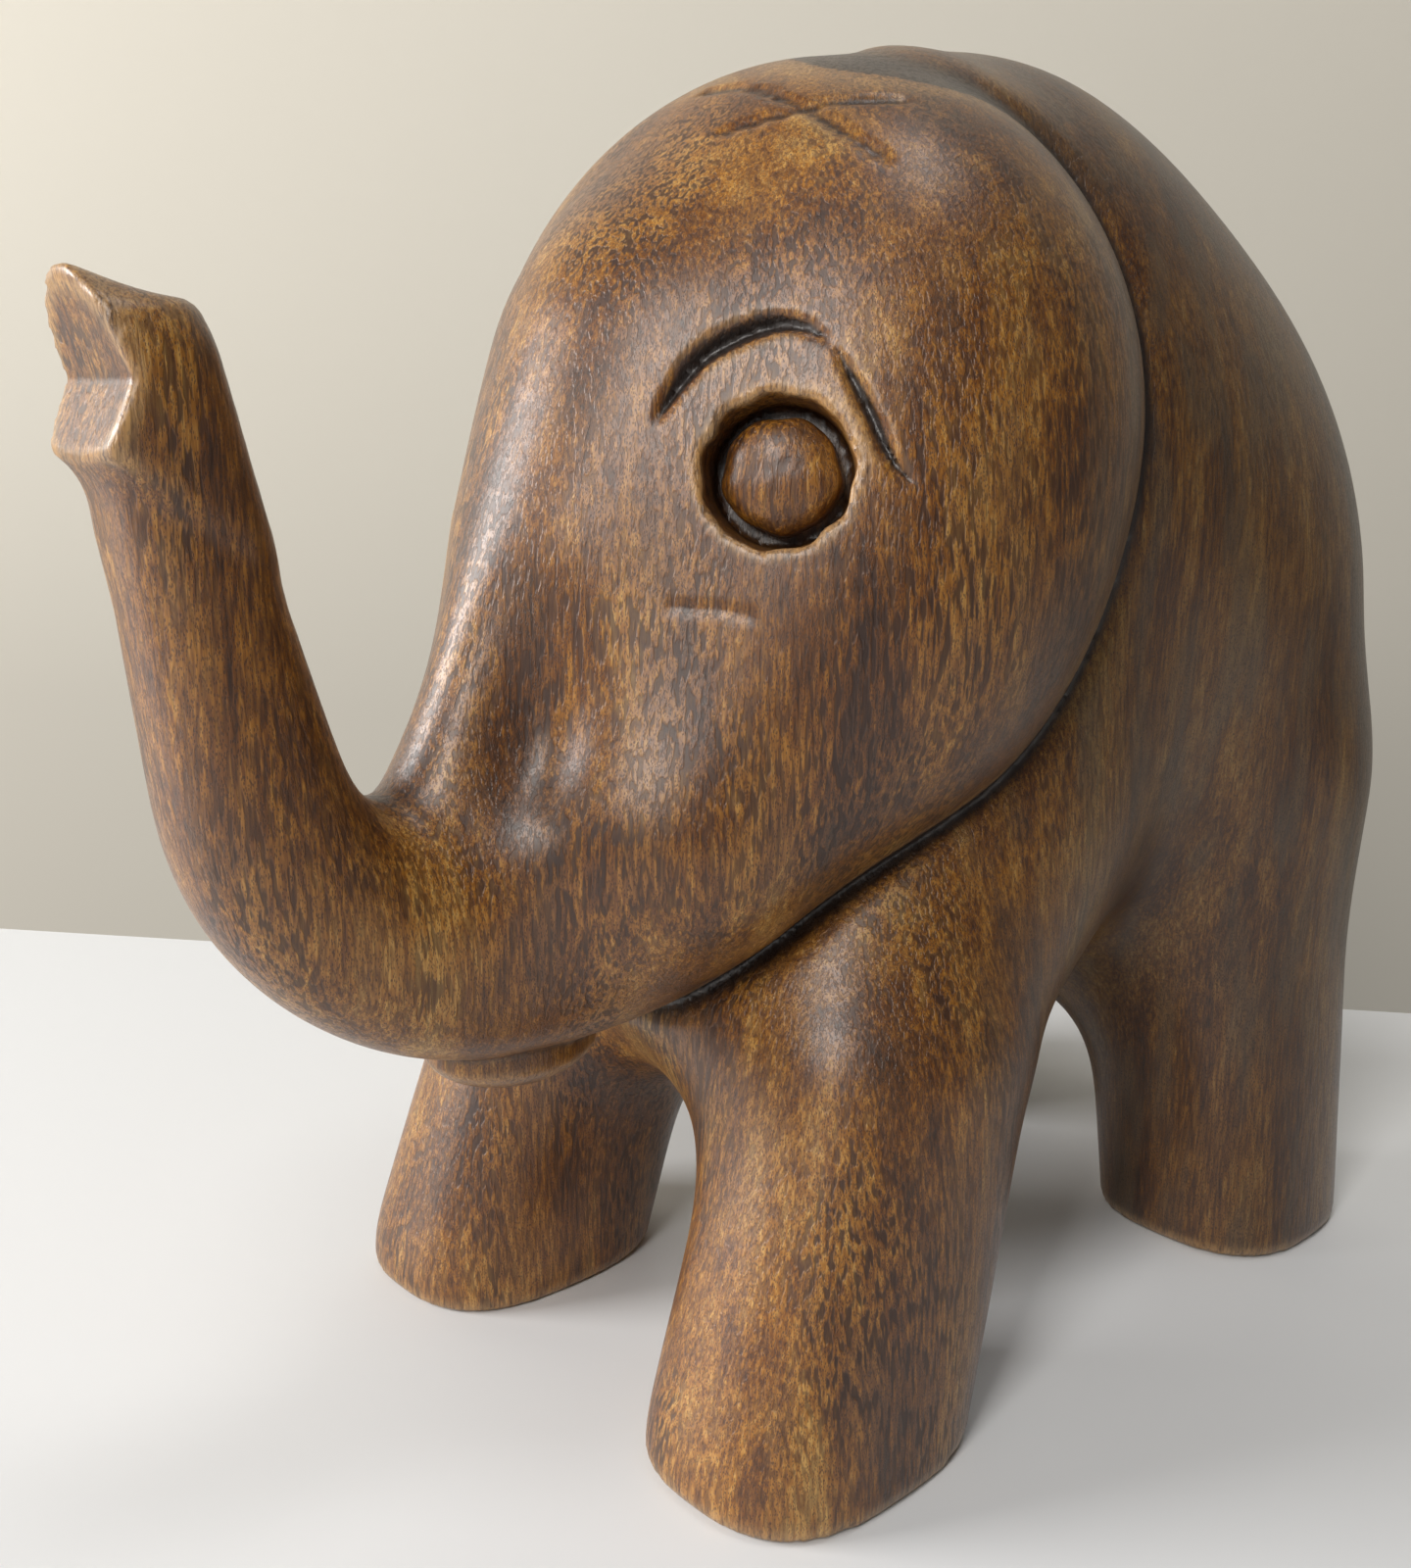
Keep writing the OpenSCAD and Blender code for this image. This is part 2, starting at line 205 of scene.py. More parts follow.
# ---------------------------------------------------------------- the head
SKULL = (0, FRONT_FOOT_Y + 27, CROWN_HEIGHT - 49.5)
SKULL_RADII = (HEAD_WIDTH / 2, HEAD_REACH, 49.5)
SKULL_TILT = -9
CHEEK = (0, FRONT_FOOT_Y + 10, 95.5)
MUZZLE = (0, FRONT_FOOT_Y - MUZZLE_REACH, 78)
HOLLOW = (12.5, FRONT_FOOT_Y - 30.5, 101)
HOLLOW_RADII = (4.5, 7, 15)
BROW_RIDGE = (0, FRONT_FOOT_Y - 0.5, 134)
BRIDGE = (0, FRONT_FOOT_Y - 26, 86)
JAW = (0, FRONT_FOOT_Y - 21.5, 53)
JAW_RADII = (10, 13, 7)
CHEEK_RADIUS = 22
MUZZLE_RADIUS = 21
CHEEK_WIDENING = (1.58, 1)
BROW_RIDGE_RADIUS = 15
BRIDGE_RADIUS = 9
HOLLOW_TILT = 11.5
CHEEK_BLEND = 29.5
BRIDGE_BLEND = 16
TRUNK_BLEND = 10.5
HOLLOW_BLEND = 8


def head_mass(p):
    """Skull, cheeks, forehead ridge and trunk, without the tip of the trunk."""
    cheeks = tapered_bar(p, CHEEK, MUZZLE, CHEEK_RADIUS, MUZZLE_RADIUS, CHEEK_WIDENING)
    mass = blend(ellipsoid(p, SKULL, SKULL_RADII, SKULL_TILT), cheeks, CHEEK_BLEND)
    mass = blend(mass, tapered_bar(p, BROW_RIDGE, BRIDGE, BROW_RIDGE_RADIUS, BRIDGE_RADIUS), BRIDGE_BLEND)
    mass = blend(mass, trunk(p), TRUNK_BLEND)
    side = (np.abs(p[0]), p[1], p[2])
    return cut(mass, -ellipsoid(side, HOLLOW, HOLLOW_RADII, HOLLOW_TILT), HOLLOW_BLEND)


def jaw(p):
    return ellipsoid(p, JAW, JAW_RADII)


# ---------------------------------------------------------------- back, belly and legs
BARREL = (0, 9.5, BACK_HEIGHT - 60)
BARREL_RADII = (BODY_WIDTH / 2 - 2.5, BARREL_REACH, 60)
HAUNCH = (0, 9.5 + HAUNCH_OFFSET, 90)
HAUNCH_RADII = (BODY_WIDTH / 2, 35, 59)
CHEST = (0, FRONT_FOOT_Y + 43.5, BELLY_HEIGHT + 31)
CHEST_RADII = (BODY_WIDTH / 2 - 10, 24, 31)
THROAT = (0, FRONT_FOOT_Y + 19, 62)
THROAT_RADII = (21, 26.5, 24.5)
# the hump of the neck behind the crown lies a little to the left
NAPE = (7, FRONT_FOOT_Y + 30.5, 158.5)
NAPE_RADII = (21, 18.5, 15.5)
REAR_FOOT = (REAR_STANCE / 2, REAR_FOOT_Y, 0)
REAR_HIP = (REAR_STANCE / 2 - 7, REAR_FOOT_Y, 70)
FRONT_FOOT = (FRONT_STANCE / 2, FRONT_FOOT_Y, 0)
KNEE = (FRONT_STANCE / 2 - 2, FRONT_FOOT_Y + 15.3, 47)
SHOULDER = (18, FRONT_FOOT_Y + 40.5, 86)
KNEE_RADIUS = FOOT_RADIUS + 0.6
SHOULDER_RADIUS = 12.5
HIP_RADIUS = FOOT_RADIUS + 3.5
FOOT_SQUARENESS = 2.8
REAR_LENGTHENING = (1, 1.05)
FRONT_LENGTHENING = (1, 1.2)
HAUNCH_BLEND = 33
CHEST_BLEND = 20
THROAT_BLEND = 14
NAPE_BLEND = 12
REAR_LEG_BLEND = 17
FRONT_LEG_BLEND = 25


def torso_mass(p):
    """Barrel, haunch, chest, throat, neck and the four legs."""
    mass = blend(ellipsoid(p, BARREL, BARREL_RADII), ellipsoid(p, HAUNCH, HAUNCH_RADII), HAUNCH_BLEND)
    mass = blend(mass, ellipsoid(p, CHEST, CHEST_RADII), CHEST_BLEND)
    mass = blend(mass, ellipsoid(p, THROAT, THROAT_RADII), THROAT_BLEND)
    mass = blend(mass, ellipsoid(p, NAPE, NAPE_RADII), NAPE_BLEND)
    side = (np.abs(p[0]), p[1], p[2])
    rear_leg = tapered_bar(side, REAR_HIP, REAR_FOOT, HIP_RADIUS, FOOT_RADIUS,
                           REAR_LENGTHENING, FOOT_SQUARENESS)
    mass = blend(mass, rear_leg, REAR_LEG_BLEND)
    lower = tapered_bar(side, KNEE, FRONT_FOOT, KNEE_RADIUS, FOOT_RADIUS,
                        FRONT_LENGTHENING, FOOT_SQUARENESS)
    upper = tapered_bar(side, SHOULDER, KNEE, SHOULDER_RADIUS, KNEE_RADIUS, FRONT_LENGTHENING)
    return blend(mass, np.minimum(lower, upper), FRONT_LEG_BLEND)


# ---------------------------------------------------------------- knife cuts
EYE_BEARING = 54
EYE_RISE = 10
SOCKET_GAP = 1.3
SOCKET_RIM_INSET = 1.3
WELL_DEPTH = 1.2
STROKE_REACH = 14
EYE_REACH = 26


def eye_axes(side):
    """Sideways, upward and outward directions of the eye on that side (+1 left, -1 right)."""
    a, r = math.radians(EYE_BEARING), math.radians(EYE_RISE)
    out = np.array([side * math.cos(r) * math.cos(a), -math.cos(r) * math.sin(a), math.sin(r)])
    across = np.cross((0, 0, 1), out)
    across = across / np.linalg.norm(across)
    return across * side, np.cross(out, across), out


def eye_frame(p, place, side):
    """Points in the eye's own frame: u towards the tail, v up, w outwards."""
    across, rise, out = eye_axes(side)
    d = [p[n] - place[n] for n in range(3)]
    return [sum(axis[n] * d[n] for n in range(3)) for axis in (across, rise, out)]


def polyline_distance(u, v, points):
    """Distance in a plane to a line of points, and the share of the way along it."""
    lengths = [math.dist(a, b) for a, b in zip(points, points[1:])]
    best, share, done = None, None, 0.0
    for (a, b), length in zip(zip(points, points[1:]), lengths):
        t = np.clip(((u - a[0]) * (b[0] - a[0]) + (v - a[1]) * (b[1] - a[1])) / length ** 2, 0, 1)
        d = np.hypot(u - a[0] - t * (b[0] - a[0]), v - a[1] - t * (b[1] - a[1]))
        s = (done + t * length) / sum(lengths)
        closer = d < best if best is not None else np.ones_like(d, bool)
        best = np.where(closer, d, best if best is not None else d)
        share = np.where(closer, s, share if share is not None else s)
        done += length
    return best, share


def smooth_path(points, steps=6):
    """A Catmull-Rom line through the points."""
    q = [np.array(v, float) for v in points]
    q = [2 * q[0] - q[1]] + q + [2 * q[-1] - q[-2]]
    path = []
    for n in range(1, len(q) - 2):
        for s in range(steps):
            t = s / steps
            path.append(tuple(0.5 * (2 * q[n] + (q[n + 1] - q[n - 1]) * t
                        + (2 * q[n - 1] - 5 * q[n] + 4 * q[n + 1] - q[n + 2]) * t * t
                        + (3 * q[n] - q[n - 1] - 3 * q[n + 1] + q[n + 2]) * t ** 3)))
    return path + [tuple(q[-2])]


# the two strokes of the eyebrow, in the eye's frame
BROW = smooth_path([(-14.5, 4.5), (-11.5, 9.8), (-8.4, 13.3), (-3.7, 15.7), (-0.3, 16.4), (2.7, 15.8),
                    (5.6, 14.2)])
BROW_WIDTH = 3.0
BROW_DEPTH = 2.2
BROW_TAIL = smooth_path([(5.6, 14.2), (7.0, 11.6), (9.8, 6.8), (12.5, 1.6), (15.6, -1.6)])
BROW_TAIL_WIDTH = 2.0
BROW_TAIL_DEPTH = 1.5


def groove(u, v, points, width, depth):
    """How deep a tapered knife cut along the points is at u, v."""
    d, s = polyline_distance(u, v, points)
    swell = np.maximum(np.sin(np.pi * s), 0) ** 0.6
    half = width / 2 * swell + 1e-3
    return depth * swell * np.clip(1 - d / half, 0, 1)


# ---------------------------------------------------------------- the grid
def stops(*runs):
    """Grid stops from (from, to, spacing) runs that follow one another."""
    values = []
    for start, end, spacing in runs:
        count = max(1, round((end - start) / spacing))
        values.extend(start + (end - start) * n / count for n in range(count))
    return np.array(values + [runs[-1][1]], np.float32)


def smoothing(values, sigma):
    """Weights of a blur along one axis: for each stop, one for each near stop, by offset."""
    reach = int(math.ceil(2.6 * sigma / np.diff(values).min()))
    width = np.gradient(values)
    last = len(values) - 1
    offsets = range(-reach, reach + 1)
    weights = []
    for offset in offsets:
        other = np.arange(last + 1) + offset
        inside = (other >= 0) & (other <= last)
        other = np.clip(other, 0, last)
        gap = (values[other] - values) / sigma
        weights.append(np.where(inside & (np.abs(gap) < 3), np.exp(-0.5 * gap * gap) * width[other], 0))
    weights = np.array(weights)
    return offsets, (weights / weights.sum(0)).astype(np.float32)


def blurred(field, grid, sigma):
    """The field blurred by sigma millimetres along each axis."""
    for axis, values in enumerate(grid):
        offsets, weights = smoothing(values, sigma)
        total = np.zeros(field.shape, np.float32)
        last = len(values)
        for offset, weight in zip(offsets, weights):
            low, high = max(0, -offset), min(last, last - offset)
            here, there = [slice(None)] * 3, [slice(None)] * 3
            here[axis], there[axis] = slice(low, high), slice(low + offset, high + offset)
            shape = [1, 1, 1]
            shape[axis] = high - low
            total[tuple(here)] += field[tuple(there)] * weight[low:high].reshape(shape)
        field = total
    return field


def surface_net(field, grid):
    """Vertices and quads of the surface where the field is zero."""
    inside = field < 0
    shape = np.array(field.shape)
    cells = shape - 1
    total = np.zeros((*cells, 3), np.float32)
    count = np.zeros(tuple(cells), np.float32)
    for axis in range(3):
        a = [slice(None)] * 3
        b = [slice(None)] * 3
        a[axis], b[axis] = slice(0, -1), slice(1, None)
        va, vb = field[tuple(a)], field[tuple(b)]
        crossing = inside[tuple(a)] != inside[tuple(b)]
        where = np.argwhere(crossing)
        share = va[crossing] / (va[crossing] - vb[crossing])
        point = np.stack([grid[n][where[:, n]] for n in range(3)], 1)
        low, high = grid[axis][where[:, axis]], grid[axis][where[:, axis] + 1]
        point[:, axis] = low + (high - low) * share
        others = [n for n in range(3) if n != axis]
        for da in (0, 1):
            for db in (0, 1):
                cell = where.copy()
                cell[:, others[0]] -= da
                cell[:, others[1]] -= db
                np.add.at(total, tuple(cell.T), point)
                np.add.at(count, tuple(cell.T), 1)
    used = count > 0
    number = np.full(tuple(cells), -1, np.int64)
    number[used] = np.arange(used.sum())
    vertices = total[used] / count[used][:, None]
    quads = []
    for axis in range(3):
        a = [slice(None)] * 3
        b = [slice(None)] * 3
        a[axis], b[axis] = slice(0, -1), slice(1, None)
        crossing = inside[tuple(a)] != inside[tuple(b)]
        where = np.argwhere(crossing)
        solid_first = inside[tuple(a)][crossing]
        u, v = (axis + 1) % 3, (axis + 2) % 3
        ring = []
        for du, dv in ((-1, -1), (0, -1), (0, 0), (-1, 0)):
            cell = where.copy()
            cell[:, u] += du
            cell[:, v] += dv
            ring.append(number[tuple(cell.T)])
        ring = np.stack(ring, 1)
        ring[~solid_first] = ring[~solid_first][:, ::-1]
        quads.append(ring)
    return vertices, np.concatenate(quads)


def sampled(field, grid, points):
    """The field at the points, by straight interpolation."""
    index, share = [], []
    for n in range(3):
        at = np.clip(np.searchsorted(grid[n], points[:, n]) - 1, 0, len(grid[n]) - 2)
        index.append(at)
        share.append((points[:, n] - grid[n][at]) / (grid[n][at + 1] - grid[n][at]))
    value = 0
    for i in (0, 1):
        for j in (0, 1):
            for k in (0, 1):
                weight = (share[0] if i else 1 - share[0]) * (share[1] if j else 1 - share[1]) \
                    * (share[2] if k else 1 - share[2])
                value = value + weight * field[index[0] + i, index[1] + j, index[2] + k]
    return value


# ---------------------------------------------------------------- the carved body
# spacings of the grid: finest round the left eye, close on the trunk's tip, coarse on the plain body
FINE = 0.65
CLOSE = 0.7
MEDIUM = 0.8
COARSE = 1.2
MARGIN = 4
FIGURE_GRID = (
    stops((-57, -46, COARSE), (-46, -10, MEDIUM), (-10, 10, CLOSE), (10, 45, FINE), (45, 57, COARSE)),
    stops((TIP_Y - MARGIN, TIP_Y + 16, CLOSE), (TIP_Y + 16, -72, COARSE), (-72, -34, FINE),
          (-34, -14, MEDIUM), (-14, 88, COARSE)),
    stops((-3, 46, COARSE), (46, 104, MEDIUM), (104, 146, FINE), (146, 158, COARSE), (158, 183, MEDIUM)),
)
SOFTENING = 2.6
MELLOWING = 1.5
CRISP_TIP_REACH = 34
CRISP_TIP_FADE = 8
TIP_BLEND = 4
NOTCH_ROUNDING = 0.5
EAR_BLEND = 0.6
EAR_UNDERCUT = 1.1
EAR_UNDERCUT_WIDTH = 1.8
FOOT_ROUNDING = 1.6
# widths of the painted shade line in the ear groove and of the worn line on the ear's rim beside it
GROOVE_LINE = 1.3
GROOVE_LINE_DEPTH = 1.5
RIM_LINE = 0.9


def sculpt():
    """Grid, its points, and the smoothed distance fields of head and torso."""
    grid = FIGURE_GRID
    p = (grid[0][:, None, None], grid[1][None, :, None], grid[2][None, None, :])
    head = blurred(np.broadcast_to(head_mass(p), [len(g) for g in grid]), grid, SOFTENING)
    torso = blurred(np.broadcast_to(torso_mass(p), [len(g) for g in grid]), grid, SOFTENING)
    high_up = np.clip((p[2] - (TIP_HEIGHT - CRISP_TIP_REACH)) / CRISP_TIP_FADE, 0, 1)
    far_forward = np.clip((TIP_Y + CRISP_TIP_REACH - p[1]) / CRISP_TIP_FADE, 0, 1)
    near_tip = high_up * far_forward
    head = head * (1 - near_tip) + head_mass(p) * near_tip
    head = blend(head, trunk_tip(p), TIP_BLEND)
    head = cut(head, lip_notch(p), NOTCH_ROUNDING)
    return grid, p, head, torso


def nearby(grid, place, reach):
    """The part of the grid within reach of the place, as slices and its points."""
    part = tuple(slice(*np.searchsorted(values, (centre - reach, centre + reach)))
                 for values, centre in zip(grid, place))
    x, y, z = (values[cut_out] for values, cut_out in zip(grid, part))
    return part, (x[:, None, None], y[None, :, None], z[None, None, :])


def carve_eye(grid, head, cut_shade, side):
    """A bevelled socket and two eyebrow strokes cut into one side of the head."""
    part, p = nearby(grid, EYE_PLACES[side], EYE_REACH)
    u, v, w = eye_frame(p, EYE_PLACES[side], side)
    r = np.hypot(u, v)
    angle = np.arctan2(v, u)
    # nine knife facets round the rim, with a finer chatter over them
    knife = 0.3 * np.abs(np.sin(angle * 4.5 + 0.6)) + 0.15 * np.sin(angle * 11 + side)
    floor_radius = EYE_DIAMETER / 2 + SOCKET_GAP
    rim_radius = SOCKET_DIAMETER / 2 - SOCKET_RIM_INSET + knife
    wall = floor_radius + (rim_radius - floor_radius) * np.clip((w + SOCKET_DEPTH) / SOCKET_DEPTH, 0, 1.1)
    socket = np.maximum((r - wall) * 0.85, -w - SOCKET_DEPTH)
    well = np.maximum(r - floor_radius, -w - SOCKET_DEPTH - WELL_DEPTH)
    strokes = np.maximum(groove(u, v, BROW, BROW_WIDTH, BROW_DEPTH),
                         groove(u, v, BROW_TAIL, BROW_TAIL_WIDTH, BROW_TAIL_DEPTH))
    strokes = strokes * (np.abs(w) < STROKE_REACH)
    # the strokes are also marked for painted shade along the cut
    cut_shade[part] = np.maximum(cut_shade[part], np.clip(strokes, 0, 1))
    head[part] = np.maximum(head[part] + strokes, -np.minimum(socket, well))


def undercut(head, other):
    """A groove in the other mass where the head steps out from it: behind the ears, over the jaw."""
    step = np.maximum(head, 0) / EAR_UNDERCUT_WIDTH
    return other + EAR_UNDERCUT * np.exp(-step * step)


# knife lines that stray over the head, by their points
LEFT_EAR_OVERRUN = [(25, -29.5, 165), (19, -36, 164.5), (14, -40.5, 163), (9, -44, 161.5)]
RIGHT_EAR_OVERRUN = [(-2, -36.5, 168.2), (7, -37, 167.5), (16, -38, 164.4), (25, -38, 159.8),
                     (29, -37, 157.5)]
SCRATCH = [(22.5, -62.8, 108.1), (26.3, -60.5, 107.8), (30.3, -58.3, 107.5)]
OVERRUN_WIDTH = 2.0
OVERRUN_DEPTH = 1.3
SCRATCH_WIDTH = 1.1
SCRATCH_DEPTH = 0.4


def stray_cut(grid, head, cut_shade, points, width, depth):
    """A shallow knife line along the points, cut into the head and marked for painted shade along the cut.
    """
    centre = np.mean(points, 0)
    part, p = nearby(grid, centre, max(math.dist(centre, q) for q in points) + 4)
    nearest = None
    for a, b in zip(points, points[1:]):
        axis = np.subtract(b, a)
        offset = [p[n] - a[n] for n in range(3)]
        t = np.clip(sum(offset[n] * axis[n] for n in range(3)) / (axis @ axis), 0, 1)
        d = np.sqrt(sum((offset[n] - t * axis[n]) ** 2 for n in range(3)))
        nearest = d if nearest is None else np.minimum(nearest, d)
    # full depth over the middle part of the width, running out to nothing at its edges
    stroke = np.clip(1.6 - 3.2 * nearest / width, 0, 1)
    head[part] = head[part] + depth * stroke
    cut_shade[part] = np.maximum(cut_shade[part], stroke * min(1, depth))


# the point on the head's surface over each eye, by side, filled in by build()
EYE_PLACES = {}


def body_mesh():
    """The carved body in millimetres: vertices, quads, and per vertex the convexity, the painted shade of
    cuts and the ear groove, and the ear rim.
    """
    grid, p, head, torso = sculpt()
    cut_shade = np.zeros(head.shape, np.float32)
    for side in (1, -1):
        carve_eye(grid, head, cut_shade, side)
    for points in (LEFT_EAR_OVERRUN, RIGHT_EAR_OVERRUN):
        stray_cut(grid, head, cut_shade, points, OVERRUN_WIDTH, OVERRUN_DEPTH)
    stray_cut(grid, head, cut_shade, SCRATCH, SCRATCH_WIDTH, SCRATCH_DEPTH)
    field = np.minimum(head, undercut(head, jaw(p)))
    field = blend(field, undercut(head, torso), EAR_BLEND)
    field = cut(field, np.broadcast_to(-p[2], field.shape), FOOT_ROUNDING).astype(np.float32)
    vertices, quads = surface_net(field, grid)
    mellow = blurred(field, grid, MELLOWING)
    convexity = sampled(mellow, grid, vertices) - sampled(field, grid, vertices)
    off_head = sampled(head, grid, vertices)
    off_torso = sampled(torso, grid, vertices)
    # painted shade: a dark line in the ear groove where the head steps out from the torso
    groove_shade = np.exp(-(off_head / GROOVE_LINE) ** 2) * (off_torso < off_head + 0.3)
    groove_shade = groove_shade * np.exp(-(np.minimum(off_torso, 0) / GROOVE_LINE_DEPTH) ** 2)
    rim_line = np.exp(-((off_torso - 1) / RIM_LINE) ** 2) * (off_head < off_torso)
    cut_shade = np.maximum(sampled(cut_shade, grid, vertices), groove_shade)
    return vertices, quads, {"convexity": convexity, "cut_shade": cut_shade, "rim": rim_line}


# how much further back the blended haunch reaches than its own ellipsoid
HAUNCH_SWELL = 0.2


def body_shift():
    """The move along Y from the modelling point to the part's origin, from the part's own box."""
    rearmost = HAUNCH[1] + HAUNCH_RADII[1] + HAUNCH_SWELL
    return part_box("carved_body")[1].y / MM - rearmost


PEG_SEAT = 8
DOME_SINK = 0.5
PEG_TURNS = 96
PEG_SLACK = 0.15
PEG_FOOT = -SOCKET_DEPTH - PEG_SEAT + 1
# the dome and flank of the peg: share of the radius, height against the head's surface
PEG_PROFILE = ((0.0, -0.1), (0.2, -0.15), (0.4, -0.3), (0.6, -0.6), (0.76, -1.0), (0.88, -1.5), (0.96, -2.1),
               (1.0, -2.8), (1.0, -4.0), (1.0, PEG_FOOT), (0.0, PEG_FOOT))


def find_eye(side, shift):
    """The point on the head's surface over the peg, from the peg's box in the part."""
    low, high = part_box("left_eye_peg" if side > 0 else "right_eye_peg")
    middle = np.array((low + high) / 2) / MM
    out = eye_axes(side)[2]
    peg_length = SOCKET_DEPTH + PEG_SEAT - DOME_SINK
    return middle + out * (SOCKET_DEPTH + PEG_SEAT - peg_length / 2) - np.array((0, shift, 0))


def mesh_object(name, vertices, quads, material):
    """A smooth-shaded object from vertices in millimetres."""
    mesh = bpy.data.meshes.new(name)
    mesh.from_pydata((vertices * MM).tolist(), [], quads.tolist())
    mesh.polygons.foreach_set("use_smooth", [True] * len(mesh.polygons))
    mesh.materials.append(material)
    made = bpy.data.objects.new(name, mesh)
    bpy.context.scene.collection.objects.link(made)
    return made


def point_value(made, name, values):
    """A value for each vertex, read by the material."""
    attribute = made.data.attributes.new(name, "FLOAT", "POINT")
    attribute.data.foreach_set("value", np.ascontiguousarray(values, np.float32))


def carved_body(shift, material):
    """The whole figure without its eye pegs, moved under the part's box."""
    vertices, quads, marks = body_mesh()
    vertices = vertices + np.array((0, shift, 0))
    made = mesh_object("elephant_body", vertices, quads, material)
    for name, values in marks.items():
        point_value(made, name, values)
    return made


def eye_peg(side, shift, material):
    """A hand-cut round peg with a low dome, slightly out of round."""
    radius = EYE_DIAMETER / 2 - PEG_SLACK
    across, rise, out = eye_axes(side)
    centre = EYE_PLACES[side] + np.array((0, shift, 0))
    vertices, quads = [], []
    for share, height in PEG_PROFILE:
        for n in range(PEG_TURNS):
            a = 2 * math.pi * n / PEG_TURNS
            # a few tenths of a millimetre out of round
            facet = 0.16 * math.cos(5 * a + 1.1) + 0.1 * math.cos(9 * a + side)
            r = radius * share * (1 + 0.018 * math.cos(2 * a)) + facet * share * share
            tip = height + (0.15 * math.cos(3 * a + 0.7) * share if share < 0.9 else 0)
            vertices.append(centre + across * r * math.cos(a) + rise * r * math.sin(a) + out * tip)
    for ring in range(len(PEG_PROFILE) - 1):
        here, there = ring * PEG_TURNS, (ring + 1) * PEG_TURNS
        for n in range(PEG_TURNS):
            m = (n + 1) % PEG_TURNS
            face = [here + n, there + n, there + m, here + m]
            quads.append(face if side > 0 else face[::-1])
    name = "left_eye" if side > 0 else "right_eye"
    made = mesh_object(name, np.array(vertices), np.array(quads), material)
    tools = bmesh.new()
    tools.from_mesh(made.data)
    bmesh.ops.remove_doubles(tools, verts=tools.verts, dist=1e-7)
    bmesh.ops.recalc_face_normals(tools, faces=tools.faces)
    tools.to_mesh(made.data)
    tools.free()
    for name in ("convexity", "cut_shade", "rim"):
        point_value(made, name, np.zeros(len(made.data.vertices)))
    return made


# ---------------------------------------------------------------- materials
class Nodes:
    """Short ways to build a node tree."""

    def __init__(self, material):
        self.tree = material.node_tree
        self.tree.nodes.clear()

    def add(self, kind, inputs=None, **settings):
        node = self.tree.nodes.new(kind)
        for name, value in settings.items():
            setattr(node, name, value)
        for name, value in (inputs or {}).items():
            self.set(node.inputs[name], value)
        return node

    def set(self, socket, value):
        if isinstance(value, bpy.types.NodeSocket):
            self.tree.links.new(value, socket)
        elif isinstance(value, bpy.types.Node):
            self.tree.links.new(value.outputs[0], socket)
        else:
            socket.default_value = value

    def math(self, operation, a, b=0.0, c=0.0):
        return self.add("ShaderNodeMath", {0: a, 1: b, 2: c}, operation=operation)

    def ramp(self, value, stops):
        node = self.add("ShaderNodeValToRGB", {"Fac": value})
        elements = node.color_ramp.elements
        while len(elements) < len(stops):
            elements.new(0.5)
        for element, (place, colour) in zip(elements, stops):
            element.position = place
            element.color = (*colour, 1)
        return node

    def level(self, value, low, high):
        """0 below low, 1 above high, smooth between."""
        return self.add("ShaderNodeMapRange", {"Value": value, "From Min": low, "From Max": high},
                        interpolation_type="SMOOTHSTEP").outputs["Result"]

    def mix(self, share, a, b, kind="MIX"):
        node = self.add("ShaderNodeMix", data_type="RGBA", blend_type=kind, clamp_result=True)
        self.set(node.inputs["Factor"], share)
        self.set(node.inputs[6], a)
        self.set(node.inputs[7], b)
        return node.outputs[2]

    def stretched(self, point, across, along, offset=(0, 0, 0)):
        """The point scaled so that one unit is across mm sideways and along mm up the grain."""
        scale = (1 / (across * MM), 1 / (across * MM), 1 / (along * MM))
        return self.add("ShaderNodeMapping", {"Vector": point, "Scale": scale, "Location": offset})

    def noise(self, vector, detail=2.0, roughness=0.5):
        return self.add("ShaderNodeTexNoise", {"Vector": vector, "Scale": 1.0, "Detail": detail,
                                               "Roughness": roughness}).outputs["Fac"]

    def pores(self, vector, size, softness):
        """1 inside scattered small specks, 0 between them."""
        cells = self.add("ShaderNodeTexVoronoi", {"Vector": vector, "Randomness": 1.0}, feature="F1")
        return self.math("SUBTRACT", 1.0, self.level(cells.outputs["Distance"], size, size + softness))


def srgb(*channels):
    """A colour given in display values from 0 to 255, as linear light."""
    return tuple(((v / 255 + 0.055) / 1.055) ** 2.4 if v > 10 else v / 255 / 12.92 for v in channels)


# stain from the dark to the light wood, by the tone of the grain
STAIN = ((0.42, srgb(62, 32, 4)), (0.53, srgb(120, 69, 12)), (0.62, srgb(170, 112, 34)),
         (0.74, srgb(218, 168, 88)))
WEATHERED = (*srgb(132, 110, 82), 1)
PORE_COLOUR = (*srgb(46, 19, 3), 1)
# painted shade colour for the hollows
HOLLOW_SHADE_COLOUR = (*srgb(26, 10, 3), 1)
WORN_COLOUR = (*srgb(196, 158, 108), 1)
# painted shade colour for knife cuts and the ear groove
CUT_SHADE_COLOUR = (*srgb(22, 9, 3), 1)
BUMP_HEIGHT = 0.00025
COAT = 0.5
COAT_ROUGHNESS = 0.36


def swayed(n, point):
    """The point pushed sideways a few millimetres by slow noise, so that the grain wanders."""
    sway = n.noise(n.stretched(point, 22, 60), detail=1.0)
    shove = n.add("ShaderNodeCombineXYZ", {"X": n.math("MULTIPLY", sway, 0.004),
                                          "Y": n.math("MULTIPLY", sway, -0.003), "Z": 0.0})
    return n.add("ShaderNodeVectorMath", {0: point, 1: shove}, operation="ADD").outputs[0]


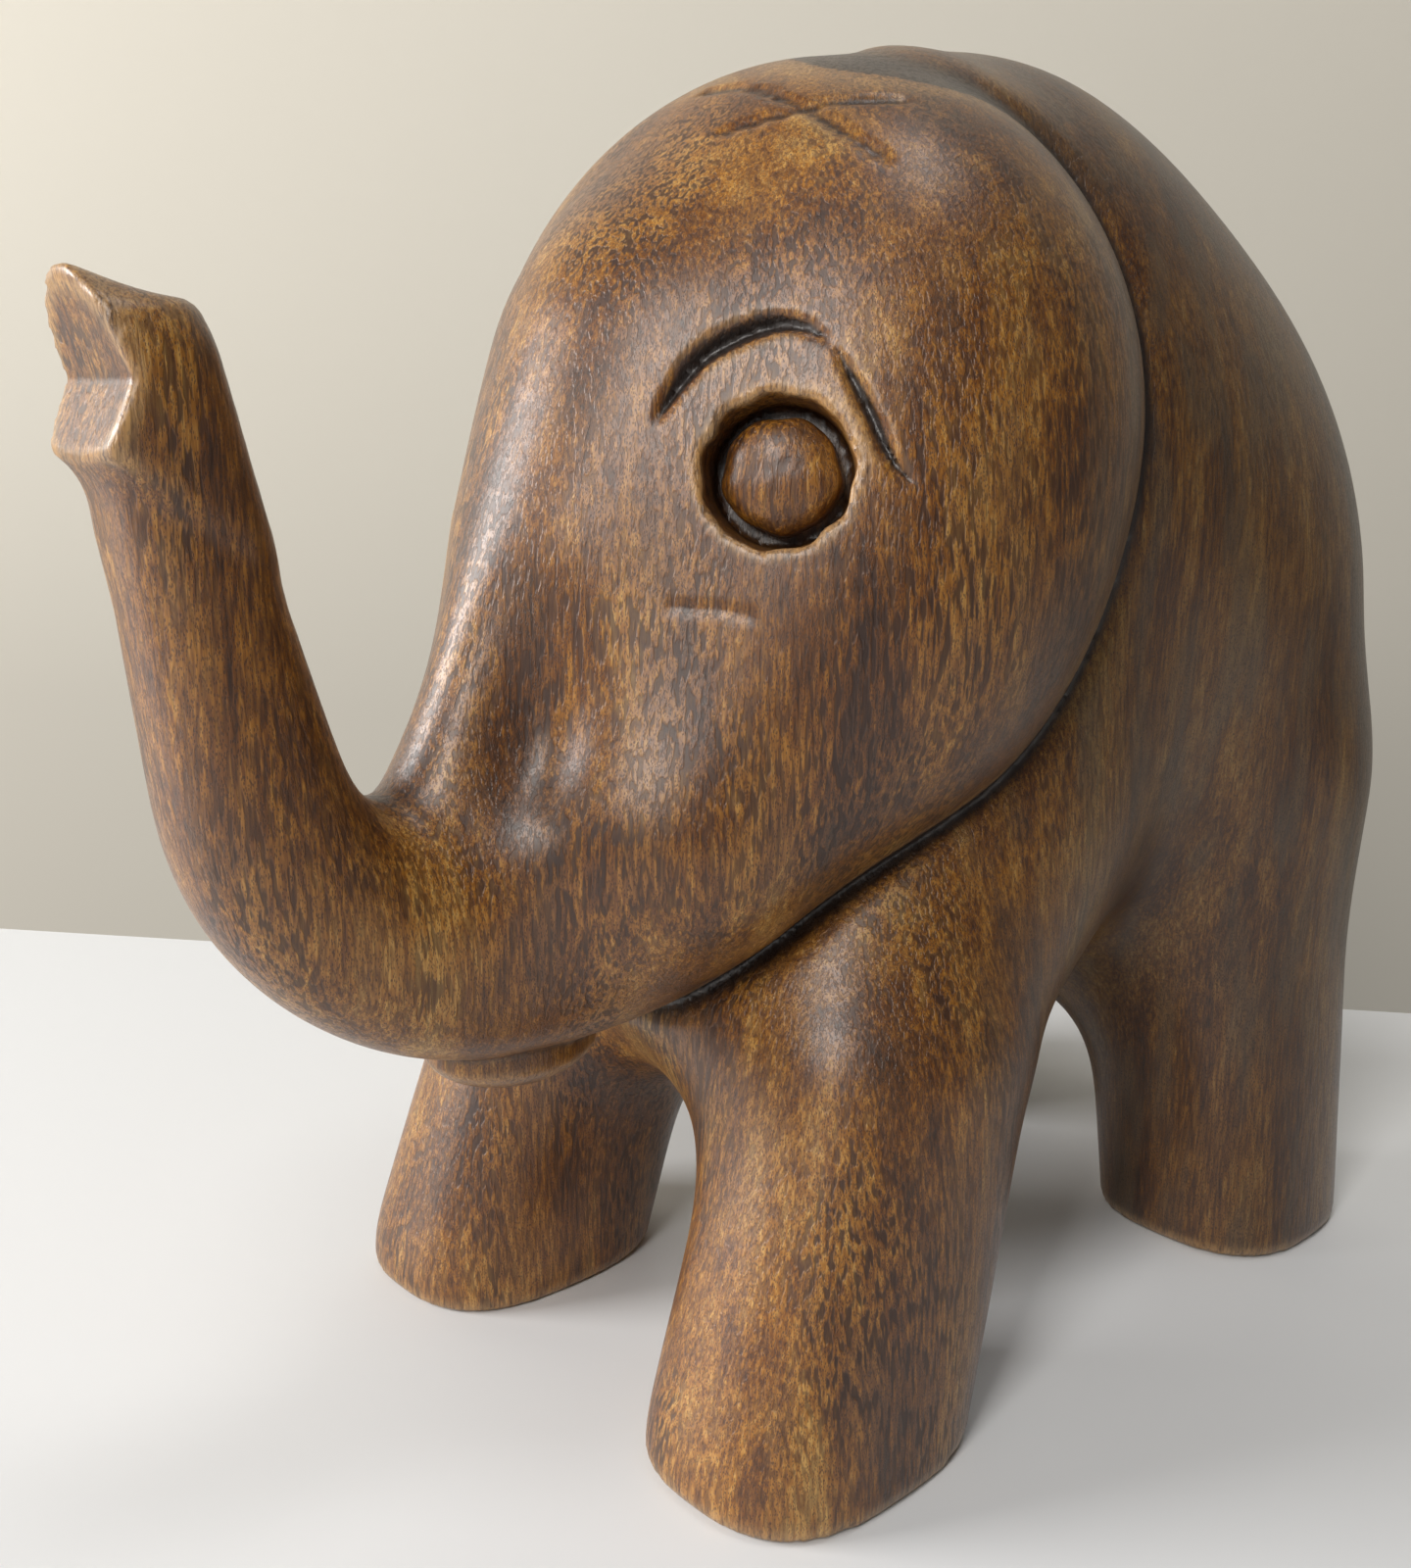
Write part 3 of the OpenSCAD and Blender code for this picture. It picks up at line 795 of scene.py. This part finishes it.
def stained(n, grain, bands, fibre):
    """The stained wood without its pores, from broad bands, a middle figure and fine fibre."""
    figure = n.noise(n.stretched(grain, 2.4, 16), detail=3.0, roughness=0.65)
    tone = n.math("ADD", n.math("MULTIPLY", bands, 0.42), n.math("MULTIPLY", figure, 0.32))
    tone = n.math("ADD", tone, n.math("MULTIPLY", fibre, 0.4))
    return n.ramp(tone, STAIN).outputs["Color"]


def open_pores(n, grain, rear):
    """1 in the open pores: small specks, and longer flecks that come in patches, fewer at the rear."""
    specks = n.pores(n.stretched(grain, 0.95, 2.8), 0.3, 0.1)
    flecks = n.noise(n.stretched(grain, 0.62, 3.4, (3, 1, 2)), detail=1.5, roughness=0.45)
    flecks = n.level(flecks, 0.47, 0.6)
    thick = n.level(n.noise(n.stretched(grain, 14, 34, (5, 2, 1)), detail=2.0), 0.38, 0.62)
    thick = n.math("MULTIPLY", n.math("MULTIPLY_ADD", thick, 0.6, 0.35),
                   n.math("MULTIPLY_ADD", rear, -0.6, 1.0))
    return n.math("MAXIMUM", n.math("MULTIPLY", specks, 0.75), n.math("MULTIPLY", flecks, thick))


def with_wear_and_shade(n, colour, fibre):
    """The colour darkened with painted shade in hollows, knife cuts and the ear groove, and worn light along
    edges.
    """
    convexity, rim, cut_shade = (n.add("ShaderNodeAttribute", attribute_name=name).outputs["Fac"]
                            for name in ("convexity", "rim", "cut_shade"))
    # painted shade: concave places are darkened where shade falls
    hollow_shade = n.level(n.math("MULTIPLY", convexity, -1.0), 0.08, 0.5)
    colour = n.mix(n.math("MULTIPLY", hollow_shade, 0.8), colour, HOLLOW_SHADE_COLOUR)
    edge = n.math("MAXIMUM", n.level(convexity, 0.14, 0.5), n.math("MULTIPLY", rim, 0.6))
    worn = n.math("MULTIPLY", edge, n.level(fibre, 0.2, 0.6))
    colour = n.mix(n.math("MULTIPLY", worn, 0.45), colour, WORN_COLOUR)
    # painted shade: knife cuts, eyebrow strokes and the ear groove are darkened
    return n.mix(n.math("MULTIPLY", n.level(cut_shade, 0.15, 0.75), 0.85), colour, CUT_SHADE_COLOUR)


def wood(name):
    """Oiled, stained hardwood with upright grain: open pores, fibres, bands, worn edges, and painted shade
    in hollows, cuts and on the rear.
    """
    material = bpy.data.materials.new(name)
    material.use_nodes = True
    n = Nodes(material)
    point = n.add("ShaderNodeTexCoord").outputs["Object"]
    grain = swayed(n, point)
    bands = n.noise(n.stretched(grain, 13, 80), detail=2.0, roughness=0.55)
    fibre = n.noise(n.stretched(grain, 0.38, 4.5), detail=2.0, roughness=0.6)
    colour = stained(n, grain, bands, fibre)

    # the rear half is greyer, and darker in painted shade, with a wavering border
    along = n.add("ShaderNodeSeparateXYZ", {"Vector": point}).outputs["Y"]
    rear = n.level(n.math("ADD", along, n.math("MULTIPLY_ADD", bands, 0.05, -0.025)), -0.03, 0.03)
    grey = n.level(n.noise(n.stretched(grain, 5, 30, (7, 3, 2)), detail=3.0), 0.45, 0.65)
    grey = n.math("MULTIPLY", grey, n.math("MULTIPLY_ADD", rear, 0.4, 0.12))
    colour = n.mix(grey, colour, WEATHERED)
    pore = open_pores(n, grain, rear)
    colour = n.mix(n.math("MULTIPLY", pore, 0.88), colour, PORE_COLOUR)
    # painted shade: the colour is darkened, more towards the rear, the side turned away from the lamps
    colour = n.mix(1.0, colour, n.math("MULTIPLY_ADD", rear, -0.38, 0.74), "MULTIPLY")
    colour = with_wear_and_shade(n, colour, fibre)

    relief = n.math("SUBTRACT", n.math("MULTIPLY", fibre, 0.3), pore)
    bump = n.add("ShaderNodeBump", {"Height": relief, "Strength": 0.5, "Distance": BUMP_HEIGHT})
    gloss = n.math("ADD", n.math("MULTIPLY_ADD", pore, 0.15, 0.33), n.math("MULTIPLY", fibre, 0.12))
    shader = n.add("ShaderNodeBsdfPrincipled", {"Base Color": colour, "Roughness": gloss,
                                                "Normal": bump.outputs[0]})
    shader.inputs["Coat Weight"].default_value = COAT
    shader.inputs["Coat Roughness"].default_value = COAT_ROUGHNESS
    n.add("ShaderNodeOutputMaterial", {"Surface": shader.outputs[0]})
    return material


def plain(name, colour, roughness):
    material = bpy.data.materials.new(name)
    material.use_nodes = True
    n = Nodes(material)
    shader = n.add("ShaderNodeBsdfPrincipled")
    shader.inputs["Base Color"].default_value = (*colour, 1)
    shader.inputs["Roughness"].default_value = roughness
    n.add("ShaderNodeOutputMaterial", {"Surface": shader.outputs[0]})
    return material


# ---------------------------------------------------------------- stage, lights and camera
CAMERA_PLACE = (0.1558, -0.1619, 0.1306)
CAMERA_BEARING = 47.4
CAMERA_DROP = 13.62
CAMERA_ROLL = 0.52
# the focal length as a share of the taller side of the frame
FOCAL_SHARE = 1.01375
FRAME_SIDE = 36


def camera():
    """The camera where the photographer stood, looking down a little, with a slight roll."""
    data = bpy.data.cameras.new("camera")
    data.sensor_width = FRAME_SIDE
    data.lens = FRAME_SIDE * FOCAL_SHARE
    data.clip_start = 0.01
    made = bpy.data.objects.new("camera", data)
    a, e = math.radians(CAMERA_BEARING), math.radians(CAMERA_DROP)
    ahead = Vector((-math.sin(a) * math.cos(e), math.cos(a) * math.cos(e), -math.sin(e)))
    made.location = CAMERA_PLACE
    made.rotation_mode = "QUATERNION"
    roll = Quaternion(ahead, -math.radians(CAMERA_ROLL))
    made.rotation_quaternion = roll @ ahead.to_track_quat("-Z", "Y")
    bpy.context.scene.collection.objects.link(made)
    bpy.context.scene.camera = made


def slab(name, corners, material):
    """A flat four-sided piece of the set."""
    mesh = bpy.data.meshes.new(name)
    mesh.from_pydata(corners, [], [(0, 1, 2, 3)])
    mesh.materials.append(material)
    made = bpy.data.objects.new(name, mesh)
    bpy.context.scene.collection.objects.link(made)


TABLE_TURN = 39.1
TABLE_BEHIND = 0.125
TABLE_BEFORE = 3
BACKDROP_BEHIND = 0.42
BACKDROP_DROP = 1
BACKDROP_RISE = 3
SET_HALF_WIDTH = 4
FLOOR_COLOUR = srgb(222, 224, 226)
FLOOR_ROUGHNESS = 0.55
BACKDROP_COLOUR = srgb(203, 198, 186)
BACKDROP_ROUGHNESS = 0.9


def stage():
    """A table whose back edge passes behind the figure, and a cloth behind and below it."""
    a = math.radians(TABLE_TURN)
    side = Vector((math.cos(a), math.sin(a), 0)) * SET_HALF_WIDTH
    ahead = Vector((-math.sin(a), math.cos(a), 0))
    front, edge = -ahead * TABLE_BEFORE, ahead * TABLE_BEHIND
    floor = [front - side, front + side, edge + side, edge - side]
    slab("floor", floor, plain("floor_paint", FLOOR_COLOUR, FLOOR_ROUGHNESS))
    low = ahead * BACKDROP_BEHIND + Vector((0, 0, -BACKDROP_DROP))
    high = ahead * BACKDROP_BEHIND + Vector((0, 0, BACKDROP_RISE))
    cloth = [low - side, low + side, high + side, high - side]
    slab("backdrop", cloth, plain("backdrop_cloth", BACKDROP_COLOUR, BACKDROP_ROUGHNESS))


def lamp(name, place, aim, size, power, colour):
    """A soft rectangular lamp of the size in metres, pointed at aim."""
    data = bpy.data.lights.new(name, "AREA")
    data.shape = "RECTANGLE"
    data.size, data.size_y = size
    data.energy = power
    data.color = colour
    made = bpy.data.objects.new(name, data)
    made.location = place
    made.rotation_mode = "QUATERNION"
    made.rotation_quaternion = (aim - place).to_track_quat("-Z", "Y")
    bpy.context.scene.collection.objects.link(made)


WARM = (1, 0.97, 0.93)
SOFT_WARM = (1, 0.98, 0.96)
# name, the way to it from the figure, distance and size in metres, watts, colour
LAMPS = (
    ("key", (0.3, -0.77, 0.56), 0.95, (0.24, 0.5), 5.6, WARM),
    ("window", (-0.6, -0.75, 0.3), 1.3, (0.6, 0.5), 18.0, SOFT_WARM),
    ("top", (0.17, 0.1, 0.98), 1.1, (0.3, 0.3), 2.2, SOFT_WARM),
)
LAMP_AIM = (0, 0, 0.1)
SKY_COLOUR = (0.93, 0.96, 1, 1)
SKY_STRENGTH = 0.1


def lights():
    """A small key lamp, a broad window and a weak top lamp under a faint sky."""
    aim = Vector(LAMP_AIM)
    for name, way, distance, size, power, colour in LAMPS:
        lamp(name, aim + Vector(way).normalized() * distance, aim, size, power, colour)
    world = bpy.data.worlds.new("world")
    bpy.context.scene.world = world
    world.use_nodes = True
    sky = world.node_tree.nodes["Background"].inputs
    sky["Color"].default_value = SKY_COLOUR
    sky["Strength"].default_value = SKY_STRENGTH
    bpy.context.scene.view_settings.view_transform = "Standard"


def build():
    shift = body_shift()
    for side in (1, -1):
        EYE_PLACES[side] = find_eye(side, shift)
    body = carved_body(shift, wood("carved_wood"))
    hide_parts("carved_body")
    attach(body, "root")
    eye_material = wood("eye_wood")
    for side, node in ((1, "left_eye_peg"), (-1, "right_eye_peg")):
        peg = eye_peg(side, shift, eye_material)
        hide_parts(node)
        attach(peg, "root")


build()
stage()
lights()
camera()
